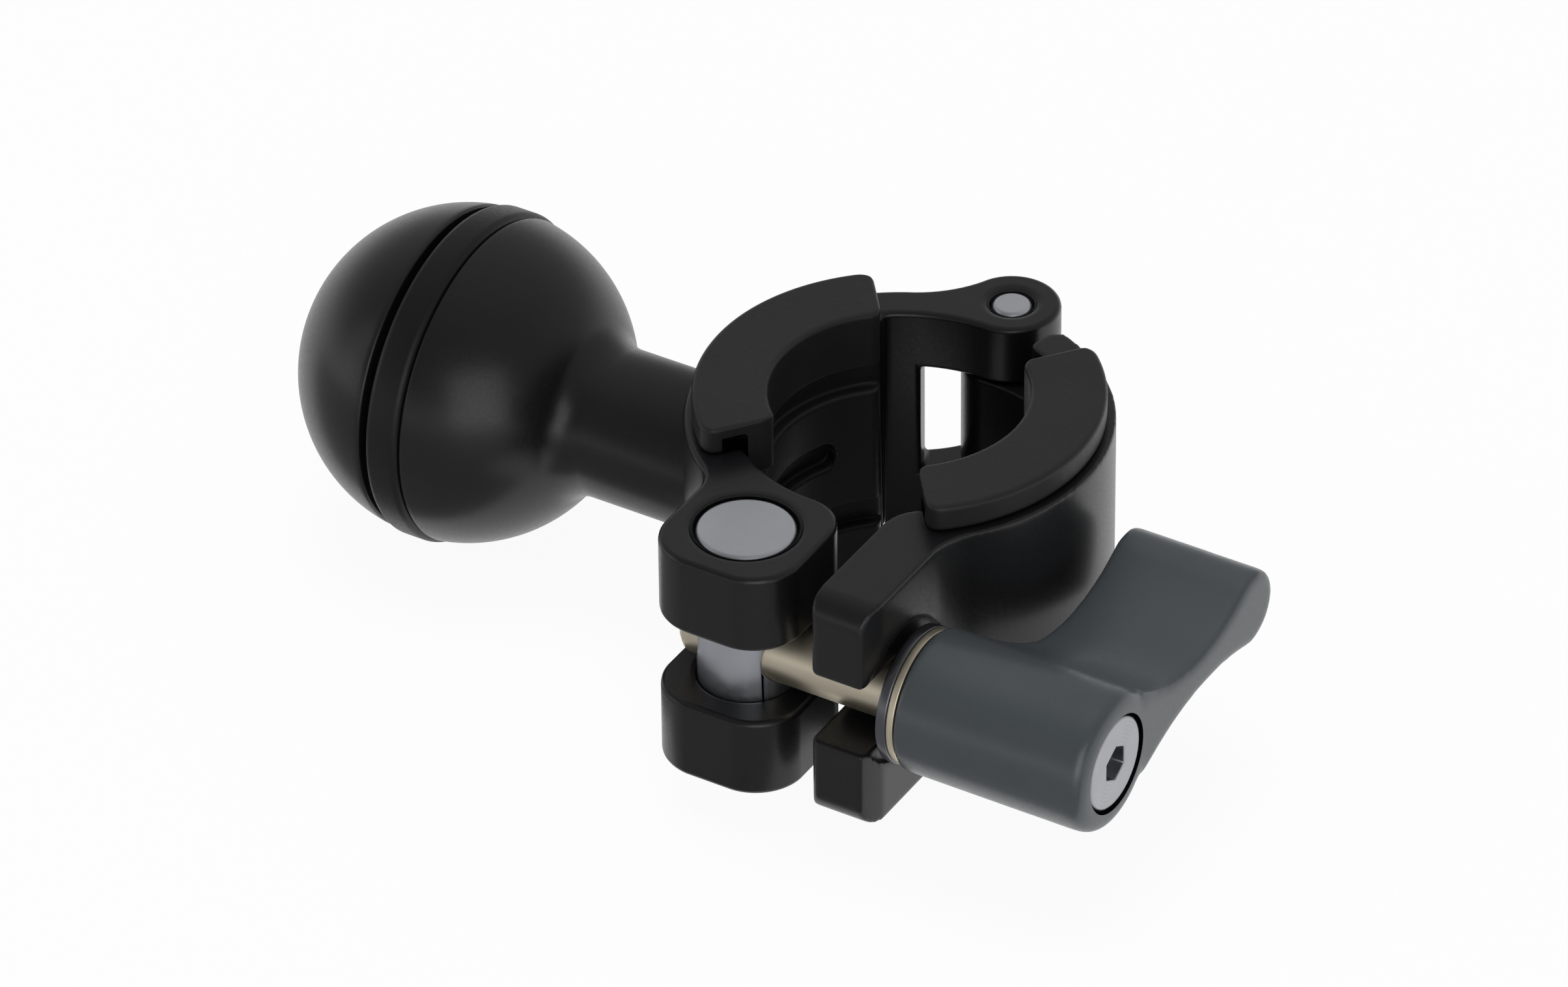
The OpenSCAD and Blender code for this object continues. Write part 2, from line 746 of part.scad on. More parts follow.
module lever_spring() {
    n = coil_steps * coil_count;
    points = [for (i = [0:n]) each coil_ring(i, n)];
    faces = [
        for (i = [0:n - 1], k = [0:wire_sides - 1])
            let (k1 = (k + 1) % wire_sides, p = i * wire_sides, q = p + wire_sides)
            each [[p + k, q + k, q + k1], [p + k, q + k1, p + k1]],
        for (k = [1:wire_sides - 2]) each [
            [0, k, k + 1],
            [n * wire_sides, n * wire_sides + k + 1, n * wire_sides + k]
        ]
    ];
    color(steel) on_bolt(spring_x) polyhedron(points, faces);
}

module lever_screw() {
    shank_l = screw_seat_x - hub_end_x + screw_grip;
    color(screw_silver) on_bolt(screw_top_x) difference() {
        union() {
            translate([0, 0, -screw_head_h / 2]) chamfered_pin(screw_head_d, screw_head_h, pin_chamfer);
            translate([0, 0, -screw_head_h - shank_l]) cylinder(d = screw_d, h = shank_l + nick);
        }
        hex_socket(screw_hex, screw_head_h);
    }
}

fixed_jaw();
moving_jaw();
fixed_pad();
moving_pad();
ball_stud();
ball_o_ring();
stud_screw();
hinge_pin();
barrel_nut();
thrust_washer();
clamp_bolt();
lever();
lever_spring();
lever_screw();
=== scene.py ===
import json
import math
import bmesh
import bpy
from mathutils import Matrix, Vector


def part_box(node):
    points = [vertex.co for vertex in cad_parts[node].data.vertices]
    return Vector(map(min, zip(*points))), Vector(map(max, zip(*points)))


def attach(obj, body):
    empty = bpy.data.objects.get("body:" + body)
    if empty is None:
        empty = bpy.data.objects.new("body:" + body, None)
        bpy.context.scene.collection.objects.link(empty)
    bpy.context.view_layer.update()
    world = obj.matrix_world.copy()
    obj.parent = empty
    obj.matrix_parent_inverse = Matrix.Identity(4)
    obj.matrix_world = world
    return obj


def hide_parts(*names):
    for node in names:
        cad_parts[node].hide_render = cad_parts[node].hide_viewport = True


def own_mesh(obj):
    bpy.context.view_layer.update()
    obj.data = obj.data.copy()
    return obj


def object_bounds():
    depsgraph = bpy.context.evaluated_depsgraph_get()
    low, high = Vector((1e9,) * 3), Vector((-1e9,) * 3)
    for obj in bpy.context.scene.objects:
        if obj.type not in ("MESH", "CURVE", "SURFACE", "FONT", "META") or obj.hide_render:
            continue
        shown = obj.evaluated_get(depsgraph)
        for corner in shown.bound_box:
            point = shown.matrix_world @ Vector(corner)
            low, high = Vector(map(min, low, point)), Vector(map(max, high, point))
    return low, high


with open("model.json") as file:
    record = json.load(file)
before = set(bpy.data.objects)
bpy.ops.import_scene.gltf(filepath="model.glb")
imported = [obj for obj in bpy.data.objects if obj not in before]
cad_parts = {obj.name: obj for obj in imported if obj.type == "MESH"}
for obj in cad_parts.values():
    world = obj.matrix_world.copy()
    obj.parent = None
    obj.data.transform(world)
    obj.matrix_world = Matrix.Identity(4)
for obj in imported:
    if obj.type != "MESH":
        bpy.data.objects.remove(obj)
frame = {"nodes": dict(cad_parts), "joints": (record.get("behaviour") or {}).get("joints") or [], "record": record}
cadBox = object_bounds()
record = frame["record"]
bodyOf = {node: body for body, members in record["behaviour"]["bodies"].items() for node in members}
mounts = {mount["name"]: mount for mount in record["mounts"]}
joints = {joint["name"]: joint for joint in frame["joints"]}
mm = 0.001
print("frame loaded:", len(frame["nodes"]), "nodes")

# the axes that the pins, the bolt and the ball are turned about, in metres
hingeAxis = Vector(joints["jaw_hinge"]["pos_m"])
nutAxis = Vector(joints["bolt_swing"]["pos_m"])
boltAxis = Vector(joints["lever_turn"]["pos_m"])
ballCentre = Vector(mounts["ball"]["pos_m"])


# Colours and materials

def linear(hexColour):
    channels = [int(hexColour[i:i + 2], 16) / 255 for i in (1, 3, 5)]
    return [c / 12.92 if c <= 0.04045 else ((c + 0.055) / 1.055) ** 2.4 for c in channels] + [1]


def addNode(tree, kind, settings=None, inputs=None):
    node = tree.nodes.new(kind)
    for key, value in (settings or {}).items():
        setattr(node, key, value)
    for key, value in (inputs or {}).items():
        if isinstance(value, bpy.types.NodeSocket):
            tree.links.new(value, node.inputs[key])
        else:
            node.inputs[key].default_value = value
    return node


def grainScale(sizeMm):
    return 1 / (sizeMm * mm)  # noise cells per metre


def ringScale(spacingMm):
    return 2 * math.pi / (20 * spacingMm * mm)  # the wave texture has 20 radians per unit of scale


coatingIor = 1.5  # rubber, anodised film and coatings all lie near this


# a coarse noise drives a small change of colour, and a finer one the roughness and the bump
def grainyMaterial(name, look):
    material = bpy.data.materials.new(name)
    material.use_nodes = True
    tree = material.node_tree
    tree.nodes.clear()
    place = addNode(tree, "ShaderNodeTexCoord").outputs["Object"]
    cloud = addNode(tree, "ShaderNodeTexNoise", None, {
        "Vector": place, "Scale": grainScale(look["cloudMm"]), "Detail": 4, "Roughness": 0.6})
    grain = addNode(tree, "ShaderNodeTexNoise", None, {
        "Vector": place, "Scale": grainScale(look["grainMm"]), "Detail": 2, "Roughness": 0.5})
    colour = addNode(tree, "ShaderNodeMix", {"data_type": "RGBA"}, {
        0: cloud.outputs["Fac"], 6: linear(look["dark"]), 7: linear(look["light"])})
    rough = addNode(tree, "ShaderNodeMapRange", None, {
        "Value": grain.outputs["Fac"], "From Min": 0.25, "From Max": 0.75,
        "To Min": look["roughness"][0], "To Max": look["roughness"][1]})
    bump = addNode(tree, "ShaderNodeBump", None, {
        "Height": grain.outputs["Fac"], "Strength": look["bump"], "Distance": look["bumpMm"] * mm})
    shader = addNode(tree, "ShaderNodeBsdfPrincipled", None, {
        "Base Color": colour.outputs[2], "Roughness": rough.outputs[0], "Normal": bump.outputs[0],
        "Metallic": look.get("metallic", 0), "Specular IOR Level": look["specular"], "IOR": coatingIor})
    addNode(tree, "ShaderNodeOutputMaterial", None, {"Surface": shader.outputs[0]})
    return material


# a turned metal: fine tool rings about the axis that it was turned on
def turnedMaterial(name, look, axisLetter, axisPoint):
    material = bpy.data.materials.new(name)
    material.use_nodes = True
    tree = material.node_tree
    tree.nodes.clear()
    place = addNode(tree, "ShaderNodeTexCoord").outputs["Object"]
    onAxis = addNode(tree, "ShaderNodeMapping", None, {"Vector": place, "Location": -axisPoint})
    rings = addNode(tree, "ShaderNodeTexWave", {"wave_type": "RINGS", "rings_direction": axisLetter}, {
        "Vector": onAxis.outputs[0], "Scale": ringScale(look["ringMm"]), "Distortion": 1.5, "Detail": 2,
        "Detail Scale": 2})
    cloud = addNode(tree, "ShaderNodeTexNoise", None, {
        "Vector": place, "Scale": grainScale(look["cloudMm"]), "Detail": 4})
    colour = addNode(tree, "ShaderNodeMix", {"data_type": "RGBA"}, {
        0: cloud.outputs["Fac"], 6: linear(look["dark"]), 7: linear(look["light"])})
    rough = addNode(tree, "ShaderNodeMapRange", None, {
        "Value": rings.outputs["Fac"], "To Min": look["roughness"][0], "To Max": look["roughness"][1]})
    bump = addNode(tree, "ShaderNodeBump", None, {
        "Height": rings.outputs["Fac"], "Strength": look["bump"], "Distance": look["bumpMm"] * mm})
    shader = addNode(tree, "ShaderNodeBsdfPrincipled", None, {
        "Base Color": colour.outputs[2], "Roughness": rough.outputs[0], "Normal": bump.outputs[0],
        "Metallic": 1})
    addNode(tree, "ShaderNodeOutputMaterial", None, {"Surface": shader.outputs[0]})
    return material


# bead-blasted and black-anodised aluminium: a soft dark sheen with a fine even grain
# real grain is finer than any of the grains below, which are drawn coarser so that they show
blackAnodised = grainyMaterial("satinBlackAnodisedAluminium", {
    "dark": "#0f0f11", "light": "#161618", "cloudMm": 9, "grainMm": 0.22, "roughness": (0.27, 0.36),
    "bump": 0.5, "bumpMm": 0.006, "specular": 0.45})

# moulded rubber: matte, dark grey, with the texture of the mould
padRubber = grainyMaterial("matteMouldedRubber", {
    "dark": "#1d1d1e", "light": "#242425", "cloudMm": 5, "grainMm": 0.3, "roughness": (0.37, 0.49),
    "bump": 0.5, "bumpMm": 0.014, "specular": 0.3})

# nitrile rubber: a smoother black than the pads, with a faint gloss
ringRubber = grainyMaterial("smoothNitrileRubber", {
    "dark": "#0b0b0c", "light": "#111112", "cloudMm": 6, "grainMm": 0.3, "roughness": (0.38, 0.48),
    "bump": 0.2, "bumpMm": 0.008, "specular": 0.35})

# grey satin coating on a die casting: faint orange peel and a slight metallic lift
leverCoating = grainyMaterial("greySatinCoating", {
    "dark": "#42484b", "light": "#4c5255", "cloudMm": 8, "grainMm": 0.35, "roughness": (0.27, 0.35),
    "bump": 0.5, "bumpMm": 0.01, "metallic": 0.2, "specular": 0.6})

steelLook = {"dark": "#cacdd3", "light": "#dddfe5", "cloudMm": 4, "ringMm": 0.28, "roughness": (0.32, 0.44),
             "bump": 0.15, "bumpMm": 0.006}
# turned steel: bright, with fine rings left by the tool
# a tool's rings are finer than the ring spacings here and below, which are drawn coarser so that they show
hingePinSteel = turnedMaterial("turnedHingePinSteel", steelLook, "Z", hingeAxis)
nutSteel = turnedMaterial("turnedBarrelNutSteel", steelLook, "Z", nutAxis)
studScrewSteel = turnedMaterial("turnedStudScrewSteel", steelLook, "X", ballCentre)
springSteel = turnedMaterial("drawnSpringSteel", steelLook, "X", boltAxis)

# ground steel: darker and more even than the turned pins
washerSteel = turnedMaterial("groundWasherSteel", {
    "dark": "#6a6b70", "light": "#7c7d82", "cloudMm": 3, "ringMm": 0.2, "roughness": (0.3, 0.4),
    "bump": 0.1, "bumpMm": 0.005}, "X", boltAxis)

# nickel plating with a warm cast over a turned bolt
boltPlating = turnedMaterial("warmSatinNickelPlating", {
    "dark": "#e6dbc2", "light": "#f0e7d2", "cloudMm": 5, "ringMm": 0.25, "roughness": (0.4, 0.5),
    "bump": 0.12, "bumpMm": 0.006}, "X", boltAxis)

# bright zinc plating on the lever's screw
screwZinc = turnedMaterial("brightZincPlating", {
    "dark": "#9b9ca0", "light": "#b0b1b4", "cloudMm": 3, "ringMm": 0.3, "roughness": (0.28, 0.4),
    "bump": 0.15, "bumpMm": 0.006}, "X", boltAxis)
print("materials made:", len(bpy.data.materials))


# Meshes

weldGap = 0.002 * mm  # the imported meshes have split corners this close
flatAngle = math.radians(0.5)  # faces that turn less than this lie in one plane
bevelAngle = math.radians(28)  # faces that turn more than this meet in an edge
straightTurn = 0.01  # corners that bend less than this, in radians, are straight
pointRadius = 1e-9  # a ring smaller than this, in metres, is one point on the axis
faceWeight = 60  # how far large faces set the normals at their edges
smoothFactor = 0.5  # share of the way to its neighbours that a point moves in one smoothing


def newPiece(name, work):
    mesh = bpy.data.meshes.new(name)
    work.to_mesh(mesh)
    work.free()
    mesh.shade_smooth()
    piece = bpy.data.objects.new(name, mesh)
    bpy.context.scene.collection.objects.link(piece)
    return piece


def evenNormals(piece):
    normals = piece.modifiers.new("evenNormals", "WEIGHTED_NORMAL")
    normals.keep_sharp = True
    normals.weight = faceWeight


def dress(piece, node, material):
    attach(piece, bodyOf[node])
    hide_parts(node)
    piece.data.materials.clear()
    piece.data.materials.append(material)
    return piece


def weldedCopy(node):
    work = bmesh.new()
    work.from_mesh(frame["nodes"][node].data)
    bmesh.ops.remove_doubles(work, verts=work.verts, dist=weldGap)
    return work


def modifiedMesh(piece):
    return bpy.data.meshes.new_from_object(piece.evaluated_get(bpy.context.evaluated_depsgraph_get()))


# the solid with its edges rounded, as tumbling and blasting leave them
def roundedCopy(node, name, spec):
    work = weldedCopy(node)
    bmesh.ops.dissolve_limit(work, angle_limit=flatAngle, verts=work.verts, edges=work.edges)
    piece = newPiece(name, work)
    bevel = piece.modifiers.new("edgeRadius", "BEVEL")
    bevel.angle_limit = bevelAngle
    bevel.width = spec["edgeMm"] * mm
    bevel.segments = spec["segments"]
    bevel.use_clamp_overlap = False
    evenNormals(piece)
    return piece


# a solid remeshed finely and smoothed, which rounds every edge, also where many meet
def softened(work, spec):
    solid = newPiece("softening", work)
    remesh = solid.modifiers.new("even", "REMESH")
    remesh.mode = "VOXEL"
    remesh.voxel_size = spec["voxelMm"] * mm
    soft = solid.modifiers.new("soft", "SMOOTH")
    soft.factor = smoothFactor
    soft.iterations = spec["smoothing"]
    work = bmesh.new()
    work.from_mesh(modifiedMesh(solid))
    bpy.data.objects.remove(solid)
    return work


# each corner is (across, along, radius); every corner becomes the same number of points
def roundedOutline(corners, steps=4):
    points = []
    for i, (x, y, radius) in enumerate(corners):
        here = Vector((x, y))
        before = Vector(corners[i - 1][:2]) - here
        after = Vector(corners[(i + 1) % len(corners)][:2]) - here
        bend = before.angle(after)
        u, v = before.normalized(), after.normalized()
        reach = radius / math.tan(bend / 2) if bend > straightTurn else 0
        for k in range(steps + 1):
            t = k / steps
            if abs(math.pi - bend) < straightTurn:
                points.append(here + (u * (1 - t) + v * t) * radius)
                continue
            middle = here + (u + v).normalized() * radius / math.sin(bend / 2)
            start = here + u * reach - middle
            end = here + v * reach - middle
            turn = start.angle_signed(end)
            spun = Matrix.Rotation(-turn * t, 2) @ start
            points.append(middle + spun)
    return points


# turns points (radius, along) about an axis through origin; place may move a point afterwards
def lathe(name, outline, origin, axis, steps, closed=False, place=None):
    axis = Vector(axis)
    u = axis.orthogonal().normalized()
    v = axis.cross(u)
    work = bmesh.new()
    rings = []
    for i, (radius, along) in enumerate(outline):
        middle = origin + axis * along
        if radius < pointRadius:
            rings.append([work.verts.new(middle)])
            continue
        ring = []
        for k in range(steps):
            turn = 2 * math.pi * k / steps
            point = middle + (u * math.cos(turn) + v * math.sin(turn)) * radius
            ring.append(work.verts.new(place(i, point) if place else point))
        rings.append(ring)
    pairs = list(zip(rings, rings[1:])) + ([(rings[-1], rings[0])] if closed else [])
    for a, b in pairs:
        for k in range(steps):
            corners = [a[k % len(a)], a[(k + 1) % len(a)], b[(k + 1) % len(b)], b[k % len(b)]]
            work.faces.new(list(dict.fromkeys(corners)))
    bmesh.ops.recalc_face_normals(work, faces=work.faces)
    return newPiece(name, work)


# Jaws

jaws = {"edgeMm": 0.45, "segments": 4, "voxelMm": 0.15, "smoothing": 14, "keep": 0.35,
        "rimEndMm": 0.9, "rimEndSegments": 6, "rimEndFrom": 11}
dress(roundedCopy("fixed_jaw", "fixedJaw", jaws), "fixed_jaw", blackAnodised)


# the corners where the rim ends beside the hinge have a larger radius than the other edges
def rimRounded(node):
    work = weldedCopy(node)
    bmesh.ops.dissolve_limit(work, angle_limit=flatAngle, verts=work.verts, edges=work.edges)
    corners = []
    for edge in work.edges:
        low, high = (v.co for v in edge.verts)
        upright = (low - high).to_2d().length < weldGap
        if upright and low.y > jaws["rimEndFrom"] * mm and edge.calc_face_angle(0) > bevelAngle:
            corners.append(edge)
    bmesh.ops.bevel(work, geom=corners, offset=jaws["rimEndMm"] * mm, offset_type="OFFSET",
                    segments=jaws["rimEndSegments"], profile=0.5, affect="EDGES")
    return work


forkedJaw = newPiece("movingJaw", softened(rimRounded("moving_jaw"), jaws))
forkedJaw.modifiers.new("thin", "DECIMATE").ratio = jaws["keep"]
dress(forkedJaw, "moving_jaw", blackAnodised)
print("jaws made")


# Ball stud and its ring

ballStud = {"grooveHalf": 1.7, "grooveShift": 0.05, "grooveFloor": 10.02, "grooveEdge": 0.25,
            "neckRadius": 5.75, "neckBlend": 3, "screwRadius": 2.5, "steps": 256,
            "frontSteps": 48, "edgeSteps": 5, "backSteps": 40, "blendSteps": 16}
ballRadius = mounts["ball"]["dims"]["r_mm"]
jawOuter = 15.7  # radius of the jaw's face that the stud's foot is shaped to
footPoints = 2  # the outline's last points, which lie on that face


def ballOutline():
    s = ballStud
    left = s["grooveShift"] - s["grooveHalf"]
    right = s["grooveShift"] + s["grooveHalf"]
    edge = s["grooveEdge"]
    points = []
    leftTurn = math.acos((left - edge) / ballRadius)
    for k in range(s["frontSteps"] + 1):
        turn = math.pi + (leftTurn - math.pi) * k / s["frontSteps"]
        points.append((ballRadius * math.sin(turn) if k else 0, ballRadius * math.cos(turn)))
    height = ballRadius * math.sin(leftTurn) - edge
    for k in range(1, s["edgeSteps"] + 1):
        turn = math.pi / 2 * (1 - k / s["edgeSteps"])
        points.append((height + edge * math.sin(turn), left - edge + edge * math.cos(turn)))
    points += [(s["grooveFloor"], left), (s["grooveFloor"], right)]
    rightTurn = math.acos((right + edge) / ballRadius)
    height = ballRadius * math.sin(rightTurn) - edge
    for k in range(s["edgeSteps"] + 1):
        turn = math.pi - math.pi / 2 * k / s["edgeSteps"]
        points.append((height + edge * math.sin(turn), right + edge + edge * math.cos(turn)))
    reach = ballRadius + s["neckBlend"]
    rise = s["neckRadius"] + s["neckBlend"]
    along = math.sqrt(reach * reach - rise * rise)
    blendTurn = math.atan2(rise, along)
    for k in range(1, s["backSteps"] + 1):
        turn = rightTurn + (blendTurn - rightTurn) * k / s["backSteps"]
        points.append((ballRadius * math.sin(turn), ballRadius * math.cos(turn)))
    for k in range(1, s["blendSteps"] + 1):
        turn = blendTurn + (math.pi / 2 - blendTurn) * k / s["blendSteps"]
        points.append((rise - s["neckBlend"] * math.sin(turn), along - s["neckBlend"] * math.cos(turn)))
    foot = -ballCentre.x / mm - jawOuter
    return points + [(s["neckRadius"], foot), (s["screwRadius"], foot)]


ballPoints = ballOutline()


def onJaw(i, point):
    if i < len(ballPoints) - footPoints:
        return point
    return Vector((-math.sqrt((jawOuter * mm) ** 2 - point.y ** 2), point.y, point.z))


ballPiece = lathe("ballStud", [(r * mm, a * mm) for r, a in ballPoints], ballCentre, (1, 0, 0),
                  ballStud["steps"], place=onJaw)
evenNormals(ballPiece)
dress(ballPiece, "ball_stud", blackAnodised)

ballRing = {"thickness": 2.8, "proud": 0.15, "shift": 0.32, "edge": 0.6, "edgeSteps": 8}
ringOut = ballRadius + ballRing["proud"]
ringIn = ringOut - ballRing["thickness"]
ringLow = ballRing["shift"] - ballRing["thickness"] / 2
ringHigh = ballRing["shift"] + ballRing["thickness"] / 2
ringCorners = [(ringIn, ringLow), (ringOut, ringLow), (ringOut, ringHigh), (ringIn, ringHigh)]
ringPoints = roundedOutline([(r, a, ballRing["edge"]) for r, a in ringCorners], ballRing["edgeSteps"])
ringPiece = lathe("ballRing", [(p.x * mm, p.y * mm) for p in ringPoints], ballCentre, (1, 0, 0),
                  ballStud["steps"], closed=True)
dress(ringPiece, "ball_o_ring", ringRubber)
print("ball stud and ring made")


# Pads

# corners within dropNone to dropFull of the inner and outer faces are rounded at the pad's ends
pads = {"jawRadius": 12, "ribRadius": 13.7, "ribTop": 10.65, "ribEdge": 0.1, "lipUnder": 9.7,
        "halfAngle": 52, "edge": 0.36, "grooveEdge": 0.3, "grooveDepth": 1, "grooveHalf": 1.1, "land": 4.65,
        "midHalfAngle": 30, "flatHalf": 0.12, "corner": 1, "endEdge": 0.28, "dropNone": 1.4, "dropFull": 0.5,
        "turnSteps": 72, "cornerSteps": 6, "endSteps": 5, "grooveSteps": 8, "edgeSteps": 4,
        "hold": 0.12, "holdShare": 0.25}
rodRadius = mounts["rod_clamp"]["dims"]["r_mm"]
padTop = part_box("fixed_pad")[1].z / mm
lipRadius = -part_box("fixed_pad")[0].x / mm


# the pad's section as (radius, height); the middle groove has its own half width and depth
def padSection(midHalf, midDepth):
    s = pads
    edge, small = s["edge"], s["grooveEdge"]
    floor = rodRadius + s["grooveDepth"]
    high = padTop - s["land"]
    low = high - 2 * s["grooveHalf"]
    middle = rodRadius + midDepth
    midEdge = min(small, midHalf / 3, midDepth / 3) or midHalf / 8  # shrinks where the groove runs out
    midFoot = midHalf if midDepth else midHalf / 2
    grip = [(rodRadius, padTop, edge), (rodRadius, high, small), (floor, high, small), (floor, low, small),
            (rodRadius, low, small), (rodRadius, midHalf, midEdge), (middle, midFoot, midEdge)]
    lip = [(lipRadius, padTop, edge), (lipRadius, s["lipUnder"], small),
           (s["ribRadius"], s["lipUnder"], small), (s["ribRadius"], s["ribTop"], s["ribEdge"]),
           (s["jawRadius"], s["ribTop"], s["ribEdge"])]
    under = [(r, -z, e) for r, z, e in reversed(grip)]
    outer = [(r, -z, e) for r, z, e in lip] + list(reversed(lip))
    return held(roundedOutline(grip + under + outer, s["edgeSteps"]), s["edgeSteps"] + 1)


# a point close to each end of every straight run keeps the flat faces flat in the shading
def held(points, perCorner):
    closer = []
    for i, here in enumerate(points):
        closer.append(here)
        if (i + 1) % perCorner == 0:
            run = points[(i + 1) % len(points)] - here
            step = min(pads["hold"] / run.length, pads["holdShare"])
            closer += [here + run * step, here + run * (1 - step)]
    return closer


def inset(points, depth):
    moved = []
    for i, p in enumerate(points):
        along = points[(i + 1) % len(points)] - points[i - 1]
        moved.append(p + Vector((-along.y, along.x)).normalized() * depth)
    return moved


def smoothStep(low, high, value):
    t = min(1, max(0, (value - low) / (high - low)))
    return t * t * (3 - 2 * t)


# stations along the pad as (distance from its middle in mm at the jaw's radius, inset)
def padStations():
    s = pads
    reach = math.radians(s["halfAngle"]) * s["jawRadius"]
    straight = reach - s["corner"]
    stations = [(straight * k / s["turnSteps"] * 2, 0) for k in range(s["turnSteps"] // 2 + 1)]
    for k in range(1, s["cornerSteps"] + 1):
        turn = math.pi / 2 * k / s["cornerSteps"]
        stations.append((straight + (s["corner"] - s["endEdge"]) * math.sin(turn), 0))
    for k in range(1, s["endSteps"] + 1):
        turn = math.pi / 2 * k / s["endSteps"]
        stations.append((reach - s["endEdge"] * (1 - math.sin(turn)), s["endEdge"] * (1 - math.cos(turn))))
    groove = math.radians(s["midHalfAngle"]) * s["jawRadius"]
    for k in range(s["grooveSteps"] + 1):
        turn = math.pi / 2 * k / s["grooveSteps"]
        stations.append((groove - s["grooveHalf"] * (1 - math.sin(turn)), 0))
    ordered = sorted(set(stations))
    return [(-d, i) for d, i in reversed(ordered) if d > 0] + ordered


def padPiece(name, facing):
    s = pads
    reach = math.radians(s["halfAngle"]) * s["jawRadius"]
    grooveEnd = math.radians(s["midHalfAngle"]) * s["jawRadius"]
    work = bmesh.new()
    loops = []
    for distance, depth in padStations():
        past = abs(distance) - (grooveEnd - s["grooveHalf"])
        if past <= 0:
            section = padSection(s["grooveHalf"], s["grooveDepth"])
        elif past < s["grooveHalf"]:
            half = math.sqrt(s["grooveHalf"] ** 2 - past ** 2)
            section = padSection(max(half, s["flatHalf"]), s["grooveDepth"])
        else:
            section = padSection(s["flatHalf"], 0)
        near = max(0, s["corner"] - (reach - abs(distance)))
        drop = s["corner"] - math.sqrt(s["corner"] ** 2 - min(near, s["corner"]) ** 2)
        turn = facing + distance / s["jawRadius"]
        loop = []
        for p in inset(section, depth):
            outward = smoothStep(lipRadius - s["dropNone"], lipRadius - s["dropFull"], p.x)
            inward = 1 - smoothStep(rodRadius + s["dropFull"], rodRadius + s["dropNone"], p.x)
            radius = p.x - drop * outward + drop * inward
            x, y = radius * math.cos(turn), radius * math.sin(turn)
            loop.append(work.verts.new((x * mm, y * mm, p.y * mm)))
        loops.append(loop)
    for a, b in zip(loops, loops[1:]):
        for k in range(len(a)):
            n = (k + 1) % len(a)
            work.faces.new((a[k], a[n], b[n], b[k]))
    work.faces.new(loops[0])
    work.faces.new(list(reversed(loops[-1])))
    bmesh.ops.recalc_face_normals(work, faces=work.faces)
    piece = newPiece(name, work)
    evenNormals(piece)
    return piece


for node, name, facing in (("fixed_pad", "fixedPad", math.pi), ("moving_pad", "movingPad", 0)):
    dress(padPiece(name, facing), node, padRubber)
print("pads made")


# Pins, bolt, washer and screws

fineEdge = {"edgeMm": 0.12, "segments": 3}
for node, name, material in (
        ("hinge_pin", "hingePin", hingePinSteel), ("barrel_nut", "barrelNut", nutSteel),
        ("thrust_washer", "thrustWasher", washerSteel), ("clamp_bolt", "clampBolt", boltPlating),
        ("lever_screw", "leverScrew", screwZinc), ("stud_screw", "studScrew", studScrewSteel)):
    dress(roundedCopy(node, name, fineEdge), node, material)
print("pins, bolt and screws made")


# Lever and its spring

casting = {"boreRadius": 3.95, "cutterOverrun": 2, "voxelMm": 0.18, "smoothing": 16, "endDepth": 5,
           "endSmoothing": 20, "crispAngle": 40}


def aroundBolt(vertex):
    return math.hypot(vertex.co.y - boltAxis.y, vertex.co.z - boltAxis.z)


# the casting is softened without its bores, most at its outer end, and the bores are then cut crisp
def castLever(name):
    s = casting
    body, bores = weldedCopy("lever"), weldedCopy("lever")
    for work in (body, bores):
        inBore = {f for f in work.faces if all(aroundBolt(v) < s["boreRadius"] * mm for v in f.verts)}
        gone = inBore if work is body else set(work.faces) - inBore
        bmesh.ops.delete(work, geom=list(gone), context="FACES")
    bmesh.ops.holes_fill(body, edges=[e for e in body.edges if e.is_boundary])
    endX = max(v.co.x for v in body.verts)
    middleX = (min(v.co.x for v in body.verts) + endX) / 2
    rims = bmesh.ops.extrude_edge_only(bores, edges=[e for e in bores.edges if e.is_boundary])["geom"]
    for vertex in (g for g in rims if isinstance(g, bmesh.types.BMVert)):
        vertex.co.x += math.copysign(s["cutterOverrun"] * mm, vertex.co.x - middleX)
    bmesh.ops.holes_fill(bores, edges=[e for e in bores.edges if e.is_boundary])
    bmesh.ops.recalc_face_normals(bores, faces=bores.faces)
    body = softened(body, s)
    outer = [v for v in body.verts if v.co.x > endX - s["endDepth"] * mm]
    for k in range(s["endSmoothing"]):
        bmesh.ops.smooth_vert(body, verts=outer, factor=smoothFactor,
                              use_axis_x=True, use_axis_y=True, use_axis_z=True)
    piece, cutter = newPiece(name, body), newPiece(name + "Bores", bores)
    cut = piece.modifiers.new("bored", "BOOLEAN")
    cut.object = cutter
    piece.data = modifiedMesh(piece)
    piece.modifiers.clear()
    bpy.data.objects.remove(cutter)
    piece.data.shade_smooth()
    piece.data.set_sharp_from_angle(angle=math.radians(s["crispAngle"]))
    return piece


dress(castLever("leverArm"), "lever", leverCoating)

spring = {"wire": 0.6, "coils": 4, "stepsPerCoil": 40, "sides": 12, "radius": 2.9}
springLow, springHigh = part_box("lever_spring")


